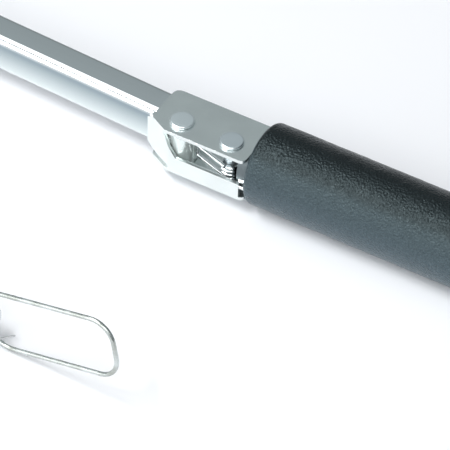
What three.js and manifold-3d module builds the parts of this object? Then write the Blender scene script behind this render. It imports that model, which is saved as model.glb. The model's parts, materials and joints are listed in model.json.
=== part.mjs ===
// Magnetic nail sweeper, in millimetres, +Z up, standing on the floor z = 0.
// X runs along the handle from the magnet head (-X) to the grip (+X). While it is built, x = 0 is
// the fold rivet; at the end the model is moved so that its box is centred over the origin.
import * as THREE from 'three';
import { mergeVertices } from 'three/addons/utils/BufferGeometryUtils.js';
import Module from 'manifold-3d';

const wasm = await Module();
wasm.setup();

// Driving dimensions
const AXIS_Z = 17; // height of the handle's axis: the grip lies on the floor
const FIT = 0.3; // gap between pieces that are fixed together
const RUN = 0.1; // gap round a shaft
const TUBE = { width: 14.4, height: 17, corner: 3.4, wall: 1.2, front: -272, rear: -9.3 };
const INNER = { width: 11.4, height: 14, corner: 2.2, wall: 1.2, front: -331.7, rear: -36 };
const PIVOT_SIDE = 7.7; // the fold rivet stands this far to the -Y side of the handle's axis
const GRIP_SIDE = 6.4; // and this far from the grip's axis
const FOLD_REST = THREE.MathUtils.degToRad(3); // the fold stands slightly open on its stop
const RIVET = { shaft: 2.4, head: 4.85, rise: 2.2, spacing: 22 };
const PLATE = { front: -11.7, rear: 31.7, near: -7.4, far: 15.6, inner: 8.8, sheet: 1.5 };
const GRIP = { tube: 12, wall: 1.5, foam: 17, start: 32.5, length: 150, cap: 5 };
const HEAD = { front: -436, rear: -360, half: 145, bottom: 10, top: 74, sheet: 2 };
const WHEEL = { x: -376, radius: 45, width: 22, near: 151, shaft: 4 };
const HINGE_X = -344; // tilt pivot of the handle
const LEVER = { x: -426, y: -122.5, z: 31, depth: 7, thick: 5, end: -29 };
const LOOP = { length: 60, height: 26.1, corner: 9, wire: 0.9, front: -9.1, z: 11.8 };
const LOOP_RISE = THREE.MathUtils.degToRad(14.4);
const MAGNETS = 6;
const MAGNET = { pitch: 37.5, length: 37, depth: 50, height: 10, z: 10.4 };

const MATERIALS = {
  paint: { color: 0x23272b, roughness: 0.5, metalness: 0.1 },
  zinc: { color: 0xb9c0c2, roughness: 0.3, metalness: 1 },
  chrome: { color: 0xdfe3e4, roughness: 0.08, metalness: 1 },
  steel: { color: 0x8b9093, roughness: 0.4, metalness: 1 },
  ferrite: { color: 0x2c2b2b, roughness: 0.8, metalness: 0.2 },
  plastic: { color: 0x3b3e42, roughness: 0.5, metalness: 0 },
  rubber: { color: 0x1b1b1c, roughness: 0.85, metalness: 0 },
  foam: { color: 0x303638, roughness: 0.75, metalness: 0 },
};
for (const [name, look] of Object.entries(MATERIALS)) {
  MATERIALS[name] = new THREE.MeshStandardMaterial(look);
}

const part = new THREE.Group();

// Solids. A shape or a profile is drawn across its axis in the order x: (y, z), y: (z, x), z: (x, y).
const [X, Y, Z] = [0, 1, 2].map((i) => new THREE.Vector3().setComponent(i, 1));
const FRAMES = {
  x: new THREE.Matrix4().makeBasis(Y, Z, X),
  y: new THREE.Matrix4().makeBasis(Z, X, Y),
  z: new THREE.Matrix4(),
};

/** Turns a closed geometry into a solid that can be cut and joined. */
function solid(geometry) {
  geometry.deleteAttribute('normal');
  geometry.deleteAttribute('uv');
  const merged = mergeVertices(geometry, 1e-4);
  const index = [];
  for (let i = 0; i < merged.index.count; i += 3) {
    const [a, b, c] = [0, 1, 2].map((k) => merged.index.getX(i + k));
    if (a !== b && b !== c && a !== c) index.push(a, b, c);
  }
  const vertProperties = new Float32Array(merged.attributes.position.array);
  return new wasm.Manifold(
    new wasm.Mesh({ numProp: 3, vertProperties, triVerts: new Uint32Array(index) }),
  );
}

/** Adds a solid to the model as the mesh of one named piece. */
function piece(name, shape, material, group = part) {
  const mesh = shape.getMesh();
  const geometry = new THREE.BufferGeometry();
  geometry.setAttribute('position', new THREE.BufferAttribute(mesh.vertProperties, 3));
  geometry.setIndex(new THREE.BufferAttribute(mesh.triVerts, 1));
  geometry.computeVertexNormals();
  const object = new THREE.Mesh(geometry, MATERIALS[material]);
  object.name = name;
  group.add(object);
}

/** A box from its low and high corners. */
function block(x0, x1, y0, y1, z0, z1) {
  const geometry = new THREE.BoxGeometry(x1 - x0, y1 - y0, z1 - z0);
  return solid(geometry.translate((x0 + x1) / 2, (y0 + y1) / 2, (z0 + z1) / 2));
}

/** A shape extruded along an axis. */
function prism(axis, shape, from, to) {
  const options = { depth: to - from, bevelEnabled: false, curveSegments: 4 };
  const geometry = new THREE.ExtrudeGeometry(shape, options).translate(0, 0, from);
  return solid(geometry.applyMatrix4(FRAMES[axis]));
}

/** A round bar along an axis; centre gives its place across that axis. */
function rod(axis, radius, from, to, centre = [0, 0], sides = 20) {
  const geometry = new THREE.CylinderGeometry(radius, radius, to - from, sides);
  geometry.rotateX(Math.PI / 2).translate(centre[0], centre[1], (from + to) / 2);
  return solid(geometry.applyMatrix4(FRAMES[axis]));
}

/** A turned piece: profile points are (radius, place along the axis), and close on themselves. */
function turned(axis, profile, centre = [0, 0], sides = 32) {
  const points = profile.map(([radius, along]) => new THREE.Vector2(radius, along));
  if (profile[0][0] > 0) points.push(points[0].clone());
  const geometry = new THREE.LatheGeometry(points, sides);
  geometry.rotateX(Math.PI / 2).translate(centre[0], centre[1], 0);
  return solid(geometry.applyMatrix4(FRAMES[axis]));
}

/** A rectangle with rounded corners, centred on (a, b). */
function rounded(width, height, radius, a = 0, b = 0) {
  const [w, h] = [width / 2, height / 2];
  const shape = new THREE.Shape();
  shape.absarc(a + w - radius, b + h - radius, radius, 0, Math.PI / 2);
  shape.absarc(a - w + radius, b + h - radius, radius, Math.PI / 2, Math.PI);
  shape.absarc(a - w + radius, b - h + radius, radius, Math.PI, Math.PI * 1.5);
  shape.absarc(a + w - radius, b - h + radius, radius, Math.PI * 1.5, Math.PI * 2);
  return shape;
}

/** A straight-sided outline through the given points. */
function outline(points) {
  return new THREE.Shape(points.map(([a, b]) => new THREE.Vector2(a, b)));
}

/** A rectangular tube along X with rounded corners. */
function box_tube({ width, height, corner, wall }, from, to) {
  const outer = prism('x', rounded(width, height, corner, 0, AXIS_Z), from, to);
  const bore = rounded(width - 2 * wall, height - 2 * wall, corner - wall, 0, AXIS_Z);
  return outer.subtract(prism('x', bore, from - 1, to + 1));
}

/** A round wire along a curve; sides is even. */
function wire(curve, radius, steps, sides = 8) {
  const section = new THREE.Shape();
  section.absarc(0, 0, radius, 0, Math.PI * 2);
  const options = { steps, extrudePath: curve, curveSegments: sides / 2 };
  return solid(new THREE.ExtrudeGeometry(section, options));
}

/** Straight runs joined by rounded corners. */
function bent_path(points, radius) {
  const path = new THREE.CurvePath();
  let start = points[0];
  for (let i = 1; i < points.length - 1; i += 1) {
    const into = points[i].clone().sub(points[i - 1]).normalize();
    const out = points[i + 1].clone().sub(points[i]).normalize();
    const before = points[i].clone().addScaledVector(into, -radius);
    const after = points[i].clone().addScaledVector(out, radius);
    path.add(new THREE.LineCurve3(start, before));
    path.add(new THREE.QuadraticBezierCurve3(before, points[i], after));
    start = after;
  }
  path.add(new THREE.LineCurve3(start, points[points.length - 1]));
  return path;
}

// Magnet head
function housing() {
  const { front, rear, half, bottom, top, sheet } = HEAD;
  const skirt = 20; // the section is drawn this much deeper, then cut off open at the bottom
  const [height, depth] = [top - bottom + skirt, rear - front];
  const middle = [(top + bottom - skirt) / 2, (front + rear) / 2];
  const outer = prism('y', rounded(height, depth, 7, ...middle), -half, half);
  const inside = [height - 2 * sheet, depth - 2 * sheet, 5];
  let shell = outer.subtract(prism('y', rounded(...inside, ...middle), -half - 1, half + 1));
  for (const y of [-half + 1, half - sheet - 1]) {
    const rib = prism('y', rounded(height - 2 * sheet, depth - 2 * sheet, 5, ...middle), y, y + 1);
    const gap = block(front, rear, -half, half, 0, top - 8);
    shell = shell.add(rib.subtract(gap));
  }
  const slot = LEVER.thick / 2 + 1.5;
  const rear_slot = block(rear - 6, rear + 1, LEVER.y - slot, LEVER.y + slot, 23, top + 1);
  const top_slot = block(rear - 14, rear + 1, LEVER.y - slot, LEVER.y + slot, top - 14, top + 1);
  shell = shell.subtract(rear_slot).subtract(top_slot);
  for (const y of [-90, 90]) shell = shell.subtract(rod('x', 2, front - 1, rear + 1, [y, 18]));
  shell = shell.subtract(block(front - 1, rear + 1, -half - 1, half + 1, -skirt, bottom));
  piece('housing_shell', shell, 'paint');
}

function wear_plate() {
  const { front, rear, half, bottom } = HEAD;
  const side = HEAD.sheet + FIT;
  let tray = block(front + side, rear - side, -half, half, bottom - 2, bottom + 14);
  tray = tray.subtract(block(front + side + 1.6, rear - side - 1.6, -half - 1, half + 1, bottom, 40));
  const slot = LEVER.thick / 2 + 1.5;
  tray = tray.subtract(block(rear - 6, rear, LEVER.y - slot, LEVER.y + slot, 22, 40));
  for (const y of [-90, 90]) tray = tray.subtract(rod('x', 2, front - 1, rear + 1, [y, 18]));
  piece('wear_plate', tray, 'steel');
  let number = 1;
  for (const y of [-90, 90]) {
    for (const [x, way] of [[front, -1], [rear, 1]]) {
      const head = [[0, 0], [4, 0], [4, 1.4], [2.6, 2.5], [0, 2.5]];
      const shaft = [[0, -5.5], [1.9, -5.5], [1.9, 0.1], [0, 0.1]];
      const place = (profile) => profile.map(([r, a]) => [r, x + way * (a + FIT)]);
      const screw = upright(place(head), [y, 18], 16).add(upright(place(shaft), [y, 18], 12));
      piece(`plate_screw_${number}`, screw, 'zinc');
      number += 1;
    }
  }
}

/** A turned piece along X whose profile may run either way. */
function upright(profile, centre, sides) {
  const rising = profile[0][1] <= profile[profile.length - 1][1];
  return turned('x', rising ? profile : [...profile].reverse(), centre, sides);
}

function end_plates() {
  const { front, rear, half, bottom, top } = HEAD;
  const middle = [(top + bottom) / 2, (front + rear) / 2];
  for (const [side, way] of [['right', -1], ['left', 1]]) {
    const [from, to] = [half + FIT, half + FIT + 4].map((y) => y * way).sort((a, b) => a - b);
    const face = prism('y', rounded(top - bottom, rear - front, 8, ...middle), from, to);
    const hole = rod('y', WHEEL.shaft + RUN, from - 1, to + 1, [WHEEL.radius, WHEEL.x]);
    piece(`end_plate_${side}`, face.subtract(hole), 'paint');
  }
}

function guide_pins() {
  for (const [side, y] of [['right', -138], ['left', 138]]) {
    const pin = rod('z', 3, HEAD.bottom + FIT, HEAD.top - HEAD.sheet - FIT, [-398, y], 16);
    piece(`guide_pin_${side}`, pin, 'steel');
  }
}

function clevis() {
  const back = HEAD.rear + FIT;
  let shape = block(back, back + 3, -22, 22, 9, 38);
  for (const y of [-12.3, 9.3]) {
    const ear = outline([[9, back + 1], [25, back + 1], [25, HINGE_X], [9, HINGE_X]]);
    shape = shape.add(prism('y', ear, y, y + 3)).add(rod('y', 8, y, y + 3, [AXIS_Z, HINGE_X]));
  }
  shape = shape.subtract(rod('y', 3 + RUN, -14, 14, [AXIS_Z, HINGE_X]));
  for (const y of [-17, 17]) shape = shape.subtract(rod('x', 2.7, back - 1, back + 4, [y, 30], 16));
  piece('handle_clevis', shape, 'zinc');
  const pin = rod('y', 3, -14.5, 14, [AXIS_Z, HINGE_X]).add(rod('y', 5, 12.6, 14.8, [AXIS_Z, HINGE_X]));
  piece('clevis_pin', pin.add(rod('y', 4.4, -15, -12.6, [AXIS_Z, HINGE_X])), 'zinc');
  for (const [side, y] of [['right', -17], ['left', 17]]) {
    const head = rod('x', 4.2, back + 3.2, back + 6, [y, 30], 6);
    piece(`clevis_bolt_${side}`, head.add(rod('x', 2.5, back + 0.2, back + 4, [y, 30], 16)), 'zinc');
  }
}

function lever_stand() {
  const back = HEAD.front + HEAD.sheet + FIT;
  const side = LEVER.thick / 2;
  let shape = block(back, back + 2, LEVER.y - side - 4, LEVER.y + side + 4, 32, 60);
  for (const y of [LEVER.y - side - 3.7, LEVER.y + side + 0.7]) {
    shape = shape.add(block(back, LEVER.x + 5.5, y, y + 3, LEVER.z - 4.6, 60));
  }
  shape = shape.subtract(rod('y', 2.5 + RUN, LEVER.y - 9, LEVER.y + 9, [LEVER.z, LEVER.x], 16));
  piece('lever_stand', shape, 'zinc');
  const pin = rod('y', 2.5, LEVER.y - 7.4, LEVER.y + 7.4, [LEVER.z, LEVER.x], 16);
  piece('lever_pin', pin, 'steel');
}

// Wheels
function wheel(side, way) {
  const across = (profile) => {
    const points = profile.map(([r, a]) => [r, way * (WHEEL.near + a)]);
    return turned('y', way > 0 ? points : points.reverse(), [WHEEL.radius, WHEEL.x], 32);
  };
  const [r, w] = [WHEEL.radius, WHEEL.width];
  const tyre = [[r - 8, 1], [r - 3, 0], [r, 4], [r, w - 4], [r - 3, w], [r - 8, w - 1]];
  piece(`tyre_${side}`, across(tyre), 'rubber');
  const rim = [
    [6.6, 0], [12, 0], [12, 8], [30, 8], [32, 2], [36.7, 2],
    [36.7, w - 2], [32, w - 2], [30, w - 8], [12, w - 8], [12, w], [6.6, w],
  ];
  piece(`wheel_rim_${side}`, across(rim), 'plastic');
  piece(`wheel_bush_${side}`, across([[4.1, 0], [6.3, 0], [6.3, w], [4.1, w]]), 'steel');
  const axle = [
    [0, -5.5], [WHEEL.shaft, -5.5], [WHEEL.shaft, -1.3], [7, -1.3], [7, -0.4],
    [WHEEL.shaft, -0.4], [WHEEL.shaft, w + 5], [0, w + 5],
  ];
  piece(`axle_${side}`, across(axle), 'zinc');
  const nut = [[4.1, w + 0.6], [8, w + 0.6], [8, w + 4], [6, w + 6], [4.1, w + 6]];
  piece(`hub_nut_${side}`, across(nut), 'zinc');
}

// Magnet carrier, which lifts inside the head
function magnet_carrier() {
  const [low, high] = [MAGNET.z + MAGNET.height + 0.2, 24];
  let bar = block(-428, -368, -143, 143, low, high);
  bar = bar.subtract(block(-430, -386, LEVER.y - 8, LEVER.y + 8, 0, 40));
  for (const y of [-138, 138]) bar = bar.subtract(rod('z', 3.3, 0, 40, [-398, y], 16));
  piece('back_bar', bar, 'steel');
  for (let i = 0; i < MAGNETS; i += 1) {
    const y = (i - (MAGNETS - 1) / 2) * MAGNET.pitch - MAGNET.length / 2;
    const [front, top] = [-398 - MAGNET.depth / 2, MAGNET.z + MAGNET.height];
    const magnet = block(front, front + MAGNET.depth, y, y + MAGNET.length, MAGNET.z, top);
    piece(`magnet_${i + 1}`, magnet, 'ferrite');
  }
  const pin_z = 35.9;
  const arch = [[-11.5, 24.2], [-11.5, 42], [11.5, 42], [11.5, 24.2], [8.2, 24.2], [8.2, 39.4], [-8.2, 39.4], [-8.2, 24.2]];
  const shape = outline(arch.map(([a, b]) => [LEVER.y + a, b]).reverse());
  const hole = rod('y', 2.5 + RUN, LEVER.y - 13, LEVER.y + 13, [pin_z, -392], 16);
  piece('lift_yoke', prism('x', shape, -397, -387).subtract(hole), 'zinc');
  piece('lift_pin', rod('y', 2.5, LEVER.y - 12, LEVER.y + 12, [pin_z, -392], 16), 'steel');
}

// Release lever with its wire pull loop
function release_lever() {
  const { x, y, z, depth, thick, end } = LEVER;
  const drop = new THREE.Group();
  drop.position.set(LOOP.front, y, LOOP.z);
  drop.rotation.y = -LOOP_RISE;
  part.add(drop);
  const end_z = LOOP.z + (end - LOOP.front) * Math.tan(LOOP_RISE) * 0.75;
  const h = depth / 2;
  const bar = outline([[z - h, x], [end_z - h, end], [end_z + h, end], [z + h, x]]);
  let arm = prism('y', bar, y - thick / 2, y + thick / 2);
  arm = arm.add(rod('y', 5, y - thick / 2, y + thick / 2, [z, x]));
  arm = arm.subtract(rod('y', 2.5 + RUN, y - thick, y + thick, [z, x], 16));
  piece('lever_arm', arm, 'zinc');

  // Places in the loop's own frame: x along it, z up it, y across.
  const sleeve = rod('x', 4.2, end - LOOP.front + 1.5, 3, [0, 0], 24);
  const ring_hole = rod('z', LOOP.wire + RUN, -6, 6, [0, 0], 12);
  const split_hole = rod('z', 0.55, -6, 6, [-4, 0], 10);
  piece('loop_ferrule', sleeve.subtract(ring_hole).subtract(split_hole), 'zinc', drop);

  const v = (a, b) => new THREE.Vector3(a, 0, b);
  const [l, t] = [LOOP.length, LOOP.height / 2];
  const turn = [v(0, -2), v(0, -t), v(l, -t), v(l, t), v(0, t), v(0, 2)];
  const ring = wire(bent_path(turn, LOOP.corner), LOOP.wire, 48, 8);
  piece('pull_loop', ring.add(rod('z', LOOP.wire, -2.5, 2.5, [0, 0], 8)), 'chrome', drop);
  const tail = [v(-4, 6), v(-4, -6.5), v(-3, -10.2).setY(-5), v(16, -1.3).setY(-5)]; // beside the ring
  piece('split_pin', wire(bent_path(tail, 1.6), 0.4, 20, 6), 'steel', drop);
}

// Lower handle, which tilts on the clevis
function lower_handle() {
  const cheek = 9;
  let foot = rod('y', 7.6, -cheek, cheek, [AXIS_Z, HINGE_X]);
  foot = foot.add(block(HINGE_X, -332, -7, 7, AXIS_Z - 7, AXIS_Z + 7));
  foot = foot.add(block(-333, -312, -4.2, 4.2, AXIS_Z - 5.5, AXIS_Z + 5.5));
  foot = foot.subtract(rod('y', 3 + RUN, -10, 10, [AXIS_Z, HINGE_X]));
  foot = foot.subtract(rod('y', 2 + RUN, -10, 10, [AXIS_Z, -322], 16));
  piece('handle_foot', foot, 'zinc');
  let tube = box_tube(INNER, INNER.front, INNER.rear);
  tube = tube.subtract(rod('y', 2 + RUN, -10, 10, [AXIS_Z, -322], 16));
  piece('inner_tube', tube, 'chrome');
  const rivet = rod('y', 2, -6.4, 6.4, [AXIS_Z, -322], 16);
  const heads = [-7.6, 5.8].map((y) => rod('y', 3.4, y, y + 1.8, [AXIS_Z, -322], 16));
  piece('foot_rivet', rivet.add(heads[0]).add(heads[1]), 'zinc');
  const plug = prism('x', rounded(8.4, 11, 1, 0, AXIS_Z), INNER.rear - 10, INNER.rear + 1);
  const flange = prism('x', rounded(11.8, 14.4, 2, 0, AXIS_Z), INNER.rear + FIT, INNER.rear + 3);
  piece('glide_plug', plug.add(flange), 'plastic');
}

// Upper handle: telescopes over the lower one and carries the fold
function upper_handle() {
  const tube = box_tube(TUBE, TUBE.front, TUBE.rear);
  piece('outer_tube', tube, 'chrome');

  const [from, step, to] = [TUBE.front - 12, TUBE.front - FIT, TUBE.front + 16];
  let collar = prism('x', rounded(22, 25, 5, 0, AXIS_Z), from, to);
  for (const y of [-8.4, 5.4]) collar = collar.add(block(from + 1, from + 13, y, y + 3, 28, 37));
  collar = collar.subtract(prism('x', rounded(14.8, 17.4, 3.6, 0, AXIS_Z), step, to + 1));
  collar = collar.subtract(prism('x', rounded(11.8, 14.4, 2.4, 0, AXIS_Z), from - 1, step + 1));
  collar = collar.subtract(rod('y', 2 + RUN, -10, 10, [33.4, from + 7], 16));
  piece('clamp_collar', collar, 'plastic');
  piece('clamp_pin', rod('y', 2, -8.8, 8.8, [33.4, from + 7], 16), 'zinc');

  const arm = outline([[31.2, from + 7], [30.4, from + 30], [31.2, from + 44], [33.6, from + 44], [35, from + 28], [36.4, from + 7]]);
  let lever = prism('y', arm, -5, 5).add(rod('y', 3.4, -5, 5, [33.4, from + 7]));
  lever = lever.subtract(rod('y', 2 + RUN, -10, 10, [33.4, from + 7], 16));
  piece('clamp_lever', lever, 'plastic');

  const end = 5.5;
  let knuckle = prism('x', rounded(TUBE.width, TUBE.height, TUBE.corner, 0, AXIS_Z), -9, end);
  knuckle = knuckle.add(rod('z', 5.2, AXIS_Z - 8.5, AXIS_Z + 8.5, [0, -PIVOT_SIDE]));
  knuckle = knuckle.add(prism('x', rounded(11.4, 14, 1.9, 0, AXIS_Z), -32, -8));
  knuckle = knuckle.subtract(rod('z', RIVET.shaft + RUN, 0, 40, [0, -PIVOT_SIDE]));
  knuckle = knuckle.subtract(block(2, 8, -6, -0.5, AXIS_Z - 2.4, AXIS_Z + 2.8));
  // Its end slants, so that it lies along the bracket's web when the grip is folded right round.
  const slant = outline([[end, -6.8], [end + 3, -6.8], [end + 3, 8], [end - 3.4, 8]]);
  knuckle = knuckle.subtract(prism('z', slant, 0, 40));
  piece('fold_knuckle', knuckle, 'zinc');
}

// Folding grip, in a frame of its own: x = y = 0 at the fold rivet, z = 0 at the handle's axis
const fold = new THREE.Group();
fold.position.set(0, -PIVOT_SIDE, AXIS_Z);
fold.rotation.z = FOLD_REST;
part.add(fold);

/** The outline that the bracket's two plates share: one corner rounded, one cut off. */
function plate_outline() {
  const { front, rear, near, far } = PLATE;
  const shape = new THREE.Shape();
  shape.moveTo(-3.6, near);
  shape.lineTo(rear - 2.5, near);
  shape.quadraticCurveTo(rear, near, rear, near + 2.5);
  shape.lineTo(rear, far);
  shape.lineTo(front + 3.5, far);
  shape.quadraticCurveTo(front, far, front, far - 3.5);
  shape.lineTo(front, near + 6);
  shape.quadraticCurveTo(front, near + 4.6, front + 1.2, near + 3.8);
  return shape;
}

function fold_bracket() {
  const { rear, near, inner, sheet } = PLATE;
  const edge = inner + sheet;
  const end = rear - 2.1;
  const wing = [[-15.2, -0.4], [-1.9, near], [end, near], [end, near + sheet], [-1.6, near + sheet], [-14.7, 0.9]];
  let web = prism('z', outline(wing), -edge, edge);
  const wing_cut = prism('y', outline([[-edge - 1, -20], [-edge - 1, -1.9], [-edge, -1.9], [-6, -15.5], [-6, -20]]), -12, 4);
  const wing_top = prism('y', outline([[6.2, -20], [6.2, -15.5], [inner, -12.2], [edge, -12.2], [edge + 1, -12.2], [edge + 1, -20]]), -12, 4);
  web = web.subtract(wing_cut).subtract(wing_top);
  const window_shape = outline([[inner, -6], [-2.4, 1.5], [-2.4, rear + 9], [inner, rear + 9]]);
  web = web.subtract(prism('y', window_shape, near - 2, near + 6));
  let bracket = web;
  for (const z of [inner, -edge]) bracket = bracket.add(prism('z', plate_outline(), z, z + sheet));
  for (const x of [0, RIVET.spacing]) {
    bracket = bracket.subtract(rod('z', RIVET.shaft + RUN, -20, 20, [x, 0]));
  }
  piece('fold_bracket', bracket, 'zinc', fold);
}

function rivets() {
  const top = PLATE.inner + PLATE.sheet + 0.05;
  const { shaft, head, rise } = RIVET;
  const profile = [[0, -top - rise], [head * 0.72, -top - rise], [head, -top - rise * 0.35], [head, -top], [shaft, -top]];
  const mirror = profile.map(([r, z]) => [r, -z]).reverse();
  const shape = () => turned('z', [...profile, ...mirror], [0, 0], 24);
  piece('fold_rivet', shape(), 'zinc', fold);
  piece('spring_rivet', shape().translate([RIVET.spacing, 0, 0]), 'zinc', fold);
}

/** The centre line of the torsion spring: front leg, coil round the rear rivet, rear leg. */
class SpringCurve extends THREE.Curve {
  constructor() {
    super();
    this.radius = 3.7;
    this.turns = 3.5;
    this.leg = 17;
    this.tail = 7.2;
    this.coil = this.turns * Math.PI * 2 * this.radius;
  }

  getPoint(t) {
    const along = t * (this.leg + this.coil + this.tail);
    const across = RIVET.spacing;
    if (along < this.leg) {
      const back = this.leg - along;
      return new THREE.Vector3(across - back * 0.9, back * 0.436 - this.radius, 0.4);
    }
    if (along < this.leg + this.coil) {
      const turn = (along - this.leg) / this.radius;
      const z = 0.4 - (1.85 * turn) / (Math.PI * 2);
      return new THREE.Vector3(across + this.radius * Math.sin(turn), -this.radius * Math.cos(turn), z);
    }
    const out = along - this.leg - this.coil;
    return new THREE.Vector3(across - out * 0.45, this.radius + out * 0.89, 0.4 - 1.85 * this.turns);
  }
}

function torsion_spring() {
  piece('torsion_spring', wire(new SpringCurve(), 0.8, 84, 6), 'chrome', fold);
}

function grip() {
  const centre = [GRIP_SIDE, 0];
  const { tube, wall, foam, start, length, cap } = GRIP;
  const end = start + length;
  const nose_front = 27.6;
  const flat = block(nose_front, start + 4, GRIP_SIDE - 20, GRIP_SIDE + 20, -8.5, 8.5);
  const hollow = block(nose_front - 1, start + 5, GRIP_SIDE - 20, GRIP_SIDE + 20, -7, 7);
  const nose = rod('x', tube, nose_front, start + 3, centre, 40).intersect(flat);
  const nose_bore = rod('x', tube - wall, nose_front - 1, start + 4, centre, 40).intersect(hollow);
  const body = rod('x', tube, start + 0.8, end - 4, centre, 40);
  const body_bore = rod('x', tube - wall, start + 2.3, end, centre, 40);
  piece('grip_tube', nose.add(body).subtract(nose_bore).subtract(body_bore), 'steel', fold);
  const ring = [
    [tube + FIT, start + 0.8], [foam - 1.2, start], [foam, start + 1.4],
    [foam, end - 1.4], [foam - 1.2, end], [tube + FIT, end],
  ];
  piece('foam_grip', turned('x', ring, centre, 48), 'foam', fold);
  const plug = [
    [0, end - 14], [10, end - 14], [10, end + FIT], [foam - 1, end + FIT],
    [foam, end + 1.3], [foam, end + cap - 2], [foam - 2, end + cap], [0, end + cap],
  ];
  piece('grip_cap', turned('x', plug, centre, 40), 'plastic', fold);
}

housing();
wear_plate();
end_plates();
guide_pins();
clevis();
lever_stand();
wheel('right', -1);
wheel('left', 1);
magnet_carrier();
release_lever();
lower_handle();
upper_handle();
fold_bracket();
rivets();
torsion_spring();
grip();

// Centre the model's box over the origin.
const bounds = new THREE.Box3().setFromObject(part);
part.position.x = -(bounds.min.x + bounds.max.x) / 2;

export default part;
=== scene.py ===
"""Looks for the magnetic nail sweeper. Lengths are in metres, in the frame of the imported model."""

import json
import math

import bmesh
import bpy
from mathutils import Matrix, Vector, noise


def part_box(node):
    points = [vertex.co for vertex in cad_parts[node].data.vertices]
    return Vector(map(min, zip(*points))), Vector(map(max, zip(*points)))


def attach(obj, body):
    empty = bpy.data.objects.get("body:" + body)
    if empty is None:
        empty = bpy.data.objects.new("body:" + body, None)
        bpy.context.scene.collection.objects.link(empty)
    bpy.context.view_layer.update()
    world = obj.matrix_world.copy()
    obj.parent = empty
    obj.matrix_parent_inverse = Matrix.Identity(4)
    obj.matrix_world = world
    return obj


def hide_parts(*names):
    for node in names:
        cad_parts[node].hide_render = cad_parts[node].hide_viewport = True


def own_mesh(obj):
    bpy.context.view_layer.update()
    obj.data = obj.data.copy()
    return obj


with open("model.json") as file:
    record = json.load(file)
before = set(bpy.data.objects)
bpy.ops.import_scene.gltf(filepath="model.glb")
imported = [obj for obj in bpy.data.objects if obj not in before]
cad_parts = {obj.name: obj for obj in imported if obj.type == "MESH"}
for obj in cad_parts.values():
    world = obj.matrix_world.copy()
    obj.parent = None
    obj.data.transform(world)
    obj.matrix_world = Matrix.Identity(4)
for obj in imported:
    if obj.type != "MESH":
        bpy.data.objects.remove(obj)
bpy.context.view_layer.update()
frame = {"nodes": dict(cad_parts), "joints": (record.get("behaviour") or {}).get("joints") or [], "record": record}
MM = 0.001

# Camera
AZIMUTH = math.radians(32.29)
ELEVATION = math.radians(43.88)
ROLL = math.radians(1.62)
TARGET = Vector((0.15358, -0.01918, -0.00321))
DISTANCE = 1.5
LENS = 311.6

# Light. Reflections see the walls, and everything else sees the ambient colour.
AMBIENT = (0.15, 0.16, 0.17)
WALLS = [(0.05, (0.2, 0.225, 0.23)), (0.7, (0.34, 0.39, 0.405))]
OVERHEAD_WATTS = 6.5
STRIP_WATTS = 14
NEAR_WATTS = 16
CAMERA_SIDE_WATTS = 14.5

# Painted shade on the foam: its base colour by which way its surface faces, darkest on top and lighter towards
# underneath. 0 is straight down and 1 straight up.
FOAM_PAINTED_SHADE = [
    (0.0, (0.078, 0.108, 0.128)),
    (0.5, (0.05, 0.071, 0.084)),
    (0.82, (0.027, 0.039, 0.045)),
    (0.9, (0.002, 0.003, 0.0036)),
]

# The fold's own frame: its origin is on the fold rivet at the height of the handle's axis.
JOINTS = {joint["name"]: joint for joint in frame["joints"]}
PIVOT = Vector(JOINTS["grip_fold"]["pos_m"])
FOLD_REST = math.radians(3)
FOLD = Matrix.Translation(PIVOT) @ Matrix.Rotation(FOLD_REST, 4, "Z")
GRIP_SIDE = 6.4 * MM

# Tubes: width, height, corner radius and wall
OUTER_TUBE = (14.4 * MM, 17 * MM, 3.4 * MM, 1.2 * MM)
INNER_TUBE = (11.4 * MM, 14 * MM, 2.2 * MM, 1.2 * MM)

# Rivets. The seat is the height of the head's underside above the handle's axis.
RIVET_SPACING = 22 * MM
RIVET_HEAD = 4.85 * MM
RIVET_SHAFT = 2.4 * MM
RIVET_SEAT = 10.35 * MM
RIVET_LOWNESS = 0.66  # height of the head as a share of the CAD head's
RIVET_RIM = 0.86  # where the head starts to round off, as a share of its radius

# Spring, in the fold's frame
COIL_RADIUS = 3.7 * MM
COIL_TURNS = 3.5
COIL_PITCH = 1.85 * MM
COIL_TOP = 0.4 * MM
SPRING_WIRE = 0.8 * MM
REAR_LEG = 7.2 * MM
REAR_LEG_WAY = Vector((-0.45, 0.89, 0))
FRONT_LEG = 14.6 * MM
FRONT_LEG_WAY = Vector((-0.952, 0.307, 0))
FRONT_LEG_DEPTH = 4.9 * MM
FRONT_LEG_BEND = 1.4 * MM
WIRE_END = {"start": 29.2 * MM, "length": 4.6 * MM, "side": -6 * MM, "radius": 0.85 * MM}
WIRE_END_HEIGHTS = (("upper", -1.2 * MM), ("lower", -4.6 * MM))

# Foam sleeve
SLEEVE_START, SLEEVE_END = 32.5 * MM, 182.5 * MM
SLEEVE_OUTER, SLEEVE_INNER = 17 * MM, 12.3 * MM

# Wire loop
LOOP_RISE = math.radians(14.4)
LOOP_LEAN = math.radians(5)
LOOP_LENGTH = 58.8 * MM
LOOP_HALF = 24.2 / 2 * MM
LOOP_CORNER = 9 * MM
LOOP_WIRE = 0.9 * MM
LOOP_BEFORE_PIVOT = 9.1 * MM
LOOP_HEIGHT = 11.2 * MM

# Tyres
TYRE_DEPTH = 8 * MM
GROOVES = (-4.5 * MM, 0, 4.5 * MM)
GROOVE_HALF = 0.7 * MM
GROOVE_DEPTH = 1.1 * MM

DEFAULT_EDGE = 0.25 * MM


# Materials


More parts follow.
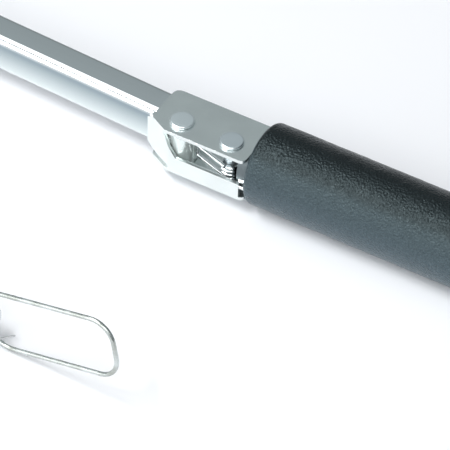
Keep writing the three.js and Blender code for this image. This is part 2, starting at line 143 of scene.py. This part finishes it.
class Look:
    """One node material with a Principled shader and a few procedural layers."""

    def __init__(self, name, colour, roughness, metallic=0.0):
        self.material = bpy.data.materials.new(name)
        self.material.use_nodes = True
        self.nodes = self.material.node_tree.nodes
        self.links = self.material.node_tree.links
        self.shader = self.nodes["Principled BSDF"]
        self.shader.inputs["Base Color"].default_value = (*colour, 1)
        self.shader.inputs["Roughness"].default_value = roughness
        self.shader.inputs["Metallic"].default_value = metallic
        self.place = self.nodes.new("ShaderNodeTexCoord").outputs["Object"]
        self.normal = None

    def noise(self, scale, detail=4.0, stretch=(1, 1, 1)):
        mapping = self.nodes.new("ShaderNodeMapping")
        mapping.inputs["Scale"].default_value = stretch
        self.links.new(self.place, mapping.inputs["Vector"])
        texture = self.nodes.new("ShaderNodeTexNoise")
        texture.inputs["Scale"].default_value = scale
        texture.inputs["Detail"].default_value = detail
        self.links.new(mapping.outputs["Vector"], texture.inputs["Vector"])
        return texture.outputs["Fac"]

    def cells(self, scale):
        texture = self.nodes.new("ShaderNodeTexVoronoi")
        texture.inputs["Scale"].default_value = scale
        self.links.new(self.place, texture.inputs["Vector"])
        return texture.outputs["Distance"]

    def spread(self, value, low, high, start=0.3, end=0.7):
        """Maps a texture's value onto a range of numbers."""
        ramp = self.nodes.new("ShaderNodeMapRange")
        ramp.inputs["From Min"].default_value = start
        ramp.inputs["From Max"].default_value = end
        ramp.inputs["To Min"].default_value = low
        ramp.inputs["To Max"].default_value = high
        self.links.new(value, ramp.inputs["Value"])
        return ramp.outputs["Result"]

    def colours(self, value, first, second, start=0.35, end=0.65):
        """Mixes two colours by a texture's value and feeds the base colour."""
        ramp = self.nodes.new("ShaderNodeValToRGB")
        ramp.color_ramp.elements[0].position = start
        ramp.color_ramp.elements[1].position = end
        ramp.color_ramp.elements[0].color = (*first, 1)
        ramp.color_ramp.elements[1].color = (*second, 1)
        self.links.new(value, ramp.inputs["Fac"])
        self.links.new(ramp.outputs["Color"], self.shader.inputs["Base Color"])

    def roughness(self, value):
        self.links.new(value, self.shader.inputs["Roughness"])

    def bump(self, value, strength, distance):
        """Adds one layer of relief on top of those already there."""
        bump = self.nodes.new("ShaderNodeBump")
        bump.inputs["Strength"].default_value = strength
        bump.inputs["Distance"].default_value = distance
        self.links.new(value, bump.inputs["Height"])
        if self.normal:
            self.links.new(self.normal, bump.inputs["Normal"])
        self.normal = bump.outputs["Normal"]
        self.links.new(self.normal, self.shader.inputs["Normal"])


def chrome():
    look = Look("polished_chrome", (0.8, 0.82, 0.83), 0.08, 1)
    look.colours(look.noise(30), (0.76, 0.79, 0.8), (0.83, 0.85, 0.855))
    look.roughness(look.spread(look.noise(900, stretch=(0.04, 1, 1)), 0.06, 0.16))
    look.bump(look.noise(140, stretch=(0.1, 1, 1)), 0.05, 0.0004)
    return look.material


def tube_plate():
    """Bright plate on drawn tube, with painted shade on the flanks: their colour is darker than the top, most of
    all towards their upper edge.
    """
    look = Look("drawn_tube_plate_painted_shade", (0.8, 0.82, 0.83), 0.1, 1)
    # Painted shade on the flanks: the mask picks faces that look sideways, and the base colour there darkens from
    # pale greenish at the lower edge to dark at the upper edge.
    facing = look.nodes.new("ShaderNodeTexCoord")
    across = look.nodes.new("ShaderNodeSeparateXYZ")
    look.links.new(facing.outputs["Normal"], across.inputs["Vector"])
    side = look.nodes.new("ShaderNodeMath")
    side.operation = "ABSOLUTE"
    look.links.new(across.outputs["Y"], side.inputs[0])
    flank_painted_shade_mask = look.spread(side.outputs["Value"], 0, 1, 0.93, 0.995)
    place = look.nodes.new("ShaderNodeSeparateXYZ")
    look.links.new(look.place, place.inputs["Vector"])
    height = look.spread(place.outputs["Z"], 0, 1, 11 * MM, 21.5 * MM)
    ramp = look.nodes.new("ShaderNodeValToRGB")
    ramp.color_ramp.elements[0].color = (0.72, 0.77, 0.76, 1)
    ramp.color_ramp.elements[1].color = (0.31, 0.37, 0.4, 1)
    look.links.new(height, ramp.inputs["Fac"])
    mottle = look.nodes.new("ShaderNodeValToRGB")
    mottle.color_ramp.elements[0].color = (0.76, 0.79, 0.8, 1)
    mottle.color_ramp.elements[1].color = (0.85, 0.865, 0.87, 1)
    look.links.new(look.noise(60, 6, (0.1, 1, 1)), mottle.inputs["Fac"])
    mix = look.nodes.new("ShaderNodeMix")
    mix.data_type = "RGBA"
    look.links.new(flank_painted_shade_mask, mix.inputs["Factor"])
    look.links.new(mottle.outputs["Color"], mix.inputs["A"])
    look.links.new(ramp.outputs["Color"], mix.inputs["B"])
    look.links.new(mix.outputs["Result"], look.shader.inputs["Base Color"])
    look.roughness(look.spread(look.noise(700, 5, (0.03, 1, 1)), 0.07, 0.17))
    look.bump(look.noise(160, 3, (0.06, 1, 1)), 0.05, 0.0003)
    return look.material


def zinc(name="bright_zinc", tint=(0.79, 0.83, 0.82), metallic=0.95):
    look = Look(name, tint, 0.24, metallic)
    darker = tuple(0.94 * c for c in tint)
    look.colours(look.noise(70, 3), darker, tint)
    look.roughness(look.spread(look.noise(150, 2), 0.2, 0.25))
    look.bump(look.noise(60, 1), 0.015, 0.0003)
    return look.material


def plain_steel():
    look = Look("rolled_steel", (0.42, 0.43, 0.44), 0.4, 1)
    look.colours(look.noise(60, 8), (0.34, 0.34, 0.345), (0.5, 0.51, 0.52))
    look.roughness(look.spread(look.noise(500, 6, (1, 0.05, 1)), 0.3, 0.5))
    look.bump(look.noise(900, 3, (1, 0.05, 1)), 0.12, 0.0002)
    return look.material


def dark_tube():
    look = Look("dark_tube_finish", (0.1, 0.125, 0.135), 0.38, 0.55)
    look.colours(look.noise(120, 6), (0.085, 0.11, 0.12), (0.13, 0.155, 0.165))
    look.roughness(look.spread(look.noise(600, 4), 0.3, 0.46))
    look.bump(look.noise(700, 4), 0.1, 0.0002)
    return look.material


def powder_coat():
    look = Look("powder_coat", (0.035, 0.042, 0.05), 0.42)
    look.colours(look.noise(12, 5), (0.03, 0.036, 0.043), (0.045, 0.053, 0.062))
    look.roughness(look.spread(look.noise(90, 5), 0.34, 0.5))
    look.bump(look.noise(1300, 2), 0.25, 0.0003)
    return look.material


def ceramic():
    look = Look("sintered_magnet", (0.05, 0.048, 0.048), 0.75, 0.1)
    look.colours(look.noise(300, 8), (0.035, 0.034, 0.034), (0.085, 0.08, 0.078))
    look.bump(look.noise(1200, 5), 0.4, 0.0004)
    return look.material


def plastic(name="moulded_plastic", tint=(0.028, 0.03, 0.033)):
    look = Look(name, tint, 0.45)
    look.colours(look.noise(20, 4), tint, tuple(1.3 * c for c in tint))
    look.roughness(look.spread(look.noise(200, 4), 0.4, 0.55))
    look.bump(look.cells(1500), 0.18, 0.0003)
    return look.material


def rubber():
    look = Look("tyre_rubber", (0.02, 0.02, 0.021), 0.8)
    look.colours(look.noise(45, 7), (0.016, 0.016, 0.017), (0.05, 0.049, 0.047))
    look.roughness(look.spread(look.noise(150, 5), 0.7, 0.95))
    look.bump(look.noise(1000, 5), 0.35, 0.0005)
    return look.material


def foam_skin_painted_shade():
    """The sleeve's closed skin: fine leathery grain with a dull satin shine, over painted shade: the base colour
    is darkest where the surface faces up and lighter where it faces down.
    """
    look = Look("foam_skin_painted_shade", (0.01, 0.013, 0.015), 0.4)
    facing = look.nodes.new("ShaderNodeTexCoord")
    split = look.nodes.new("ShaderNodeSeparateXYZ")
    look.links.new(facing.outputs["Normal"], split.inputs["Vector"])
    # Painted shade: the base colour is darker where the surface faces up and lighter where it faces down.
    ramp = look.nodes.new("ShaderNodeValToRGB")
    while len(ramp.color_ramp.elements) < len(FOAM_PAINTED_SHADE):
        ramp.color_ramp.elements.new(0.5)
    for element, (position, colour) in zip(ramp.color_ramp.elements, FOAM_PAINTED_SHADE):
        element.position = position
        element.color = (*colour, 1)
    look.links.new(look.spread(split.outputs["Z"], 0, 1, -1, 1), ramp.inputs["Fac"])
    grain = look.nodes.new("ShaderNodeMix")
    grain.data_type = "RGBA"
    grain.blend_type = "MULTIPLY"
    grain.inputs["Factor"].default_value = 1
    look.links.new(ramp.outputs["Color"], grain.inputs["A"])
    look.links.new(look.spread(look.noise(2200, 3), 0.55, 1.45), grain.inputs["B"])
    look.links.new(grain.outputs["Result"], look.shader.inputs["Base Color"])
    look.roughness(look.spread(look.noise(300, 6), 0.25, 0.37))
    look.bump(look.cells(1000), 0.4, 0.0006)
    look.bump(look.noise(1700, 4), 0.45, 0.0006)
    look.shader.inputs["Specular IOR Level"].default_value = 0.42
    look.shader.inputs["Specular Tint"].default_value = (0.74, 0.95, 1, 1)
    return look.material


def floor_paper():
    look = Look("white_sweep", (0.86, 0.875, 0.9), 0.9)
    look.colours(look.noise(3, 3), (0.855, 0.872, 0.9), (0.868, 0.882, 0.905))
    look.bump(look.noise(400, 4), 0.02, 0.0004)
    return look.material


def bright_wire():
    """Plated spring wire, a little dull."""
    look = Look("plated_wire", (0.5, 0.53, 0.52), 0.28, 0.95)
    look.colours(look.noise(160, 6), (0.4, 0.42, 0.39), (0.6, 0.64, 0.63))
    look.roughness(look.spread(look.noise(500, 5), 0.2, 0.36))
    look.bump(look.noise(400, 4), 0.08, 0.0002)
    return look.material


LOOKS = {
    "chrome_plate": chrome(),
    "zinc_plate": zinc(),
    "plain_steel": plain_steel(),
    "dark_tube": dark_tube(),
    "painted_steel": powder_coat(),
    "magnet_ceramic": ceramic(),
    "moulded_plastic": plastic(),
    "tyre_rubber": rubber(),
    "grip_foam": foam_skin_painted_shade(),
}
TUBE_LOOK = tube_plate()
OWN_LOOKS = {
    "outer_tube": TUBE_LOOK,
    "inner_tube": TUBE_LOOK,
    "pull_loop": bright_wire(),
    "fold_rivet": zinc("rivet_plate", (0.78, 0.85, 0.87), 0.84),
    # Painted light: the knuckle's zinc is a paler, less metallic copy, so it looks lit inside the shaded window.
    "fold_knuckle": zinc("knuckle_plate_painted_light", (0.84, 0.92, 0.9), 0.6),
    "spring_rivet": zinc("spring_rivet_plate", (0.72, 0.79, 0.82), 0.86),
}


# Pieces


def finish_piece(piece, node, slot, sharp=35):
    """Gives a piece its body and the material of its slot, and smooths its faces up to an angle."""
    mesh = piece.data
    mesh.materials.clear()
    mesh.materials.append(OWN_LOOKS.get(node, LOOKS[slot]))
    mesh.shade_smooth()
    mesh.set_sharp_from_angle(angle=math.radians(sharp))
    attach(piece, BODY_OF[node])


def new_piece(name, vertices, faces):
    mesh = bpy.data.meshes.new(name)
    mesh.from_pydata(vertices, [], faces)
    mesh.validate()
    work = bmesh.new()
    work.from_mesh(mesh)
    bmesh.ops.recalc_face_normals(work, faces=work.faces)
    work.to_mesh(mesh)
    work.free()
    piece = bpy.data.objects.new(name, mesh)
    bpy.context.collection.objects.link(piece)
    return piece


def refined(node, bevel):
    """A copy of a CAD node with its triangles joined into faces and its edges rounded."""
    source = frame["nodes"][node]
    mesh = source.data.copy()
    work = bmesh.new()
    work.from_mesh(mesh)
    bmesh.ops.remove_doubles(work, verts=work.verts, dist=1e-6)
    bmesh.ops.dissolve_limit(
        work, angle_limit=math.radians(1), verts=work.verts, edges=work.edges
    )
    work.to_mesh(mesh)
    work.free()
    piece = bpy.data.objects.new(f"{node}_finished", mesh)
    bpy.context.collection.objects.link(piece)
    rounding = piece.modifiers.new("rounded_edges", "BEVEL")
    rounding.width = bevel
    rounding.segments = 2
    rounding.limit_method = "ANGLE"
    rounding.angle_limit = math.radians(40)
    rounding.use_clamp_overlap = True
    finish_piece(piece, node, SLOT_OF[node])
    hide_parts(node)


def turned(name, profile, place, sides=96, shape=None):
    """A turned piece: profile points are (radius, along x) in the frame of place."""
    vertices, faces = [], []
    count = len(profile)
    for i in range(sides):
        angle = 2 * math.pi * i / sides
        for radius, along in profile:
            if shape:
                radius = shape(radius, along, angle)
            point = Vector((along, radius * math.cos(angle), radius * math.sin(angle)))
            vertices.append(place @ point)
    closed = profile[0][0] > 0
    for i in range(sides):
        j = (i + 1) % sides
        for k in range(count if closed else count - 1):
            n = (k + 1) % count
            faces.append((i * count + k, i * count + n, j * count + n, j * count + k))
    piece = new_piece(name, vertices, faces)
    work = bmesh.new()
    work.from_mesh(piece.data)
    bmesh.ops.remove_doubles(work, verts=work.verts, dist=1e-7)
    bmesh.ops.recalc_face_normals(work, faces=work.faces)
    work.to_mesh(piece.data)
    work.free()
    return piece


def wire(name, points, radius, sides=14, closed=False):
    """A round wire through points, with rings carried along without twist."""
    count = len(points)
    vertices, faces = [], []
    side = None
    for i, point in enumerate(points):
        before = points[(i - 1) % count] if closed or i else point
        after = points[(i + 1) % count] if closed or i < count - 1 else point
        along = (after - before).normalized()
        if side is None:
            side = along.orthogonal().normalized()
        side = (side - along * side.dot(along)).normalized()
        other = along.cross(side)
        for k in range(sides):
            angle = 2 * math.pi * k / sides
            vertices.append(point + radius * (side * math.cos(angle) + other * math.sin(angle)))
    for i in range(count if closed else count - 1):
        j = (i + 1) % count
        for k in range(sides):
            n = (k + 1) % sides
            faces.append((i * sides + k, i * sides + n, j * sides + n, j * sides + k))
    if not closed:
        faces.append(tuple(range(sides)))
        faces.append(tuple(range((count - 1) * sides, count * sides)))
    return new_piece(name, vertices, faces)


def arc(centre, radius, start, end, steps, plane):
    """Points on an arc; plane maps two lengths to a point."""
    points = []
    for i in range(steps + 1):
        angle = math.radians(start + (end - start) * i / steps)
        a = centre[0] + radius * math.cos(angle)
        b = centre[1] + radius * math.sin(angle)
        points.append(plane(a, b))
    return points


def rounded_outline(width, height, radius, steps=10):
    """Corner arcs of a rounded rectangle centred on zero, as pairs."""
    pairs = []
    for k, (a, b) in enumerate([(1, 1), (-1, 1), (-1, -1), (1, -1)]):
        centre = (a * (width / 2 - radius), b * (height / 2 - radius))
        pairs += arc(centre, radius, 90 * k, 90 * k + 90, steps, lambda p, q: (p, q))
    return pairs


def square_tube(node, width, height, corner, wall, edge=0.3 * MM):
    """A rectangular tube with truly round corners and eased ends, along X."""
    low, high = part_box(node)
    middle = [(low[i] + high[i]) / 2 for i in range(3)]
    outer = rounded_outline(width, height, corner)
    inner = rounded_outline(width - 2 * wall, height - 2 * wall, corner - wall)
    eased = rounded_outline(width - edge, height - edge, corner - edge / 2)
    steps = [low[0] + edge + (high[0] - low[0] - 2 * edge) * i / 40 for i in range(41)]
    rings = [(low[0], eased), *((x, outer) for x in steps), (high[0], eased)]
    rings += [(high[0], inner), (low[0], inner)]
    count = len(outer)
    vertices = [(x, middle[1] + y, middle[2] + z) for x, ring in rings for y, z in ring]
    faces = []
    for i in range(len(rings)):
        j = (i + 1) % len(rings)
        for k in range(count):
            n = (k + 1) % count
            faces.append((i * count + k, i * count + n, j * count + n, j * count + k))
    piece = new_piece(f"{node}_drawn", vertices, faces)
    finish_piece(piece, node, SLOT_OF[node], 40)
    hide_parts(node)


def domed_rivet(node, offset):
    """A rivet with a low head: nearly flat on top, rounded at its rim."""
    low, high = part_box(node)
    half = (high[2] - low[2]) / 2
    head, shaft, under = RIVET_HEAD, RIVET_SHAFT, RIVET_SEAT
    rise = RIVET_LOWNESS * (half - under)
    dome = []
    for i in range(9):
        t = math.radians(90 * i / 8)
        radius = head * (RIVET_RIM + (1 - RIVET_RIM) * math.sin(t))
        dome.append((radius, under + rise * (0.35 + 0.6 * math.cos(t))))
    crown = [(0, under + rise), (head * 0.5, under + rise * 0.985)]
    top = [*crown, *dome, (head, under + rise * 0.15), (head - 0.15 * MM, under), (shaft, under)]
    profile = top + [(r, -z) for r, z in reversed(top)]
    place = FOLD @ Matrix.Translation((offset, 0, 0)) @ Matrix.Rotation(math.radians(-90), 4, "Y")
    piece = turned(f"{node}_headed", profile, place, 72)
    finish_piece(piece, node, SLOT_OF[node], 50)
    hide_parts(node)


def spring_coil():
    """The close coil round the rear rivet, running out into the rear leg."""
    steps = int(COIL_TURNS * 40)
    coil = []
    for i in range(steps + 1):
        turn = 2 * math.pi * COIL_TURNS * i / steps
        x = RIVET_SPACING + COIL_RADIUS * math.sin(turn)
        z = COIL_TOP - COIL_PITCH * turn / (2 * math.pi)
        coil.append(FOLD @ Vector((x, -COIL_RADIUS * math.cos(turn), z)))
    end = Vector((RIVET_SPACING, COIL_RADIUS, COIL_TOP - COIL_PITCH * COIL_TURNS))
    coil += [FOLD @ (end + REAR_LEG_WAY * REAR_LEG * i / 12) for i in range(1, 13)]
    body = wire("spring_coil", coil, SPRING_WIRE, 16)
    finish_piece(body, "torsion_spring", "chrome_plate")
    return body


def spring_front_leg():
    """The narrow U of wire between the coil and the knuckle."""
    start = Vector((RIVET_SPACING - 0.6 * MM, -COIL_RADIUS, COIL_TOP))
    reach, drop, bend = FRONT_LEG_WAY, Vector((0, 0, -1)), FRONT_LEG_BEND
    tip, depth = FRONT_LEG, FRONT_LEG_DEPTH
    leg = [start + reach * tip * i / 20 for i in range(20)]
    for centre, first in ((bend, 90), (depth - bend, 0)):
        for i in range(9):
            angle = math.radians(first - 90 * i / 8)
            along, down = tip + bend * math.cos(angle), centre - bend * math.sin(angle)
            leg.append(start + reach * along + drop * down)
    leg += [start + drop * depth + reach * tip * (19 - i) / 20 for i in range(20)]
    front = wire("spring_front_leg", [FOLD @ point for point in leg], SPRING_WIRE, 16)
    finish_piece(front, "torsion_spring", "chrome_plate")
    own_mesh(front)
    return front


def spring_pieces():
    """The torsion spring: coil, front leg, and two short wire ends at the rear of the near wall."""
    body = spring_coil()
    front = spring_front_leg()
    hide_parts("torsion_spring")
    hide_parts("torsion_spring")
    for name, z in WIRE_END_HEIGHTS:
        side, length = WIRE_END["side"], WIRE_END["length"]
        stub = [Vector((WIRE_END["start"] + length * i / 12, side, z)) for i in range(13)]
        points = [FOLD @ point for point in stub]
        end = wire(f"spring_{name}_end", points, WIRE_END["radius"], 16)
        finish_piece(end, "torsion_spring", "chrome_plate")


def grip_pieces():
    """The foam sleeve, whose mesh has the broad unevenness; its grain is in the material."""
    start, end = SLEEVE_START, SLEEVE_END
    outer, inner = SLEEVE_OUTER, SLEEVE_INNER
    round_in, round_out = 2.2 * MM, 1.6 * MM
    place = FOLD @ Matrix.Translation((0, GRIP_SIDE, 0))
    profile = [(inner, start + 1.4 * MM), (inner + 0.9 * MM, start + 0.35 * MM)]
    profile += arc(
        (start + round_in, outer - round_in), round_in, 180, 90, 9, lambda a, b: (b, a)
    )
    runs = 150
    first, last = start + round_in, end - round_out
    profile += [(outer, first + (last - first) * i / runs) for i in range(1, runs)]
    profile += arc((end - round_out, outer - round_out), round_out, 90, 0, 7, lambda a, b: (b, a))
    profile += [(inner, end)]

    def uneven(radius, along, angle):
        """Shallow dents, never outside the sleeve's true radius."""
        if radius < outer - 3 * MM:
            return radius
        point = Vector((along * 60, math.cos(angle) * 1.2, math.sin(angle) * 1.2))
        broad = noise.noise(point)
        fine = noise.noise(Vector((along * 420, 5 * math.cos(angle), 5 * math.sin(angle))))
        return radius - (0.16 * (broad + 1) + 0.05 * (fine + 1)) * MM

    sleeve = turned("foam_sleeve", profile, place, 160, uneven)
    finish_piece(sleeve, "foam_grip", "grip_foam", 60)
    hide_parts("foam_grip")


def loop_pieces():
    """The bright wire loop at the end of the release lever."""
    ferrule_low, ferrule_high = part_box("loop_ferrule")
    centre_y = (ferrule_low[1] + ferrule_high[1]) / 2
    origin = Vector((PIVOT.x - LOOP_BEFORE_PIVOT, centre_y, LOOP_HEIGHT))
    place = Matrix.Translation(origin) @ Matrix.Rotation(-LOOP_RISE, 4, "Y")
    place = place @ Matrix.Rotation(-LOOP_LEAN, 4, "X")
    length, half, corner = LOOP_LENGTH, LOOP_HALF, LOOP_CORNER

    def on_plane(a, b):
        return place @ Vector((a, 0, b))

    points = []
    corners = [(length - corner, -1, -90), (length - corner, 1, 0), (corner, 1, 90), (corner, -1, 180)]
    for along, side, start in corners:
        centre = (along, side * (half - corner))
        points += arc(centre, corner, start, start + 90, 12, on_plane)
    spaced = []
    for i, point in enumerate(points):
        after = points[(i + 1) % len(points)]
        pieces = max(1, round((after - point).length / (1.2 * MM)))
        spaced += [point.lerp(after, k / pieces) for k in range(pieces)]
    ring = wire("wire_loop", spaced, LOOP_WIRE, 18, closed=True)
    finish_piece(ring, "pull_loop", "chrome_plate")
    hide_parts("pull_loop")


def wheel_pieces(side):
    """A treaded tyre round the rim of one wheel."""
    low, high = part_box(f"tyre_{side}")
    centre = Vector([(low[i] + high[i]) / 2 for i in range(3)])
    place = Matrix.Translation(centre) @ Matrix.Rotation(math.radians(90), 4, "Z")
    outer, half = (high[2] - low[2]) / 2, (high[1] - low[1]) / 2
    inner = outer - TYRE_DEPTH
    profile = [(inner, -half + 1 * MM), (inner + 1 * MM, -half + 0.4 * MM)]
    profile += [(outer - 5 * MM, -half), (outer - 3 * MM, -half + 0.1 * MM)]
    profile += [(outer - 1.2 * MM, -half + 1.6 * MM), (outer - 0.3 * MM, -half + 3.4 * MM)]
    wide, deep = GROOVE_HALF, GROOVE_DEPTH
    for groove in GROOVES:
        profile += [(outer, groove - wide - 0.2 * MM), (outer - deep, groove - wide)]
        profile += [(outer - deep, groove + wide), (outer, groove + wide + 0.2 * MM)]
    profile += [(r, -a) for r, a in reversed(profile[:6])]
    tyre = turned(f"tyre_{side}_treaded", profile, place, 128)
    finish_piece(tyre, f"tyre_{side}", "tyre_rubber", 30)
    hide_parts(f"tyre_{side}")


BODY_OF = {
    node: body
    for body, nodes in frame["record"]["behaviour"]["bodies"].items()
    for node in nodes
}
SLOT_OF = {entry["node"]: entry["material_slot"] for entry in frame["record"]["subparts"]}

FINE_EDGES = {
    "fold_bracket": 0.35 * MM,
    "fold_knuckle": 0.35 * MM,
    "grip_tube": 0.3 * MM,
    "housing_shell": 0.5 * MM,
    "clamp_collar": 0.8 * MM,
    "clamp_lever": 0.9 * MM,
    "end_plate_left": 0.8 * MM,
    "end_plate_right": 0.8 * MM,
    "lever_arm": 0.6 * MM,
    "handle_clevis": 0.5 * MM,
    "grip_cap": 0.4 * MM,
}
REBUILT = {
    "outer_tube", "inner_tube", "fold_rivet", "spring_rivet", "torsion_spring",
    "foam_grip", "pull_loop", "tyre_left", "tyre_right",
}


def carried_over():
    """Every other CAD node: rounded edges and the finish of its slot."""
    for node in sorted(BODY_OF):
        if node not in REBUILT:
            refined(node, FINE_EDGES.get(node, DEFAULT_EDGE))


# Stage


def camera():
    data = bpy.data.cameras.new("camera")
    data.lens = LENS
    data.sensor_width = 36
    data.clip_end = 20
    eye = bpy.data.objects.new("camera", data)
    look = Vector((
        -math.sin(AZIMUTH) * math.cos(ELEVATION),
        math.cos(AZIMUTH) * math.cos(ELEVATION),
        -math.sin(ELEVATION),
    ))
    eye.location = TARGET - look * DISTANCE
    turn = look.to_track_quat("-Z", "Y").to_matrix().to_4x4()
    eye.matrix_world = Matrix.Translation(eye.location) @ turn @ Matrix.Rotation(ROLL, 4, "Z")
    bpy.context.collection.objects.link(eye)
    bpy.context.scene.camera = eye


def softbox(name, place, aim, size, energy):
    data = bpy.data.lights.new(name, "AREA")
    data.shape = "RECTANGLE"
    data.size, data.size_y = size
    data.energy = energy
    lamp = bpy.data.objects.new(name, data)
    lamp.location = place
    lamp.rotation_euler = (Vector(aim) - Vector(place)).to_track_quat("-Z", "Y").to_euler()
    bpy.context.collection.objects.link(lamp)


def studio():
    bpy.ops.mesh.primitive_plane_add(size=12, location=(0, 0, 0))
    floor = bpy.context.object
    floor.name = "floor"
    floor.data.materials.append(floor_paper())
    world = bpy.data.worlds.new("studio")
    bpy.context.scene.world = world
    world.use_nodes = True
    nodes, links = world.node_tree.nodes, world.node_tree.links
    place = nodes.new("ShaderNodeTexCoord")
    split = nodes.new("ShaderNodeSeparateXYZ")
    links.new(place.outputs["Generated"], split.inputs["Vector"])
    ramp = nodes.new("ShaderNodeValToRGB")
    for element, (position, colour) in zip(ramp.color_ramp.elements, WALLS):
        element.position = position
        element.color = (*colour, 1)
    links.new(split.outputs["Z"], ramp.inputs["Fac"])
    rays = nodes.new("ShaderNodeLightPath")
    seen = nodes.new("ShaderNodeMix")
    seen.data_type = "RGBA"
    seen.inputs["A"].default_value = (*AMBIENT, 1)
    links.new(rays.outputs["Is Glossy Ray"], seen.inputs["Factor"])
    links.new(ramp.outputs["Color"], seen.inputs["B"])
    links.new(seen.outputs["Result"], nodes["Background"].inputs["Color"])
    softbox("overhead", (-0.6, -0.08, 1.5), (0.0, 0, 0), (1.3, 1.1), OVERHEAD_WATTS)
    softbox("strip", (-0.38, -0.58, 1.29), (0.2, 0, 0.03), (0.9, 0.14), STRIP_WATTS)
    softbox("near_side", (-0.5, -1.35, 0.62), (0.05, 0, 0.1), (2.0, 1.1), NEAR_WATTS)
    softbox("camera_side", (0.95, -1.35, 1.45), (0.1, 0, 0), (1.3, 1.0), CAMERA_SIDE_WATTS)
    view = bpy.context.scene.view_settings
    view.view_transform = "Standard"
    view.look = "None"


camera()
studio()
square_tube("outer_tube", *OUTER_TUBE)
square_tube("inner_tube", *INNER_TUBE)
domed_rivet("fold_rivet", 0)
domed_rivet("spring_rivet", RIVET_SPACING)
spring_pieces()
grip_pieces()
loop_pieces()
wheel_pieces("left")
wheel_pieces("right")
carried_over()
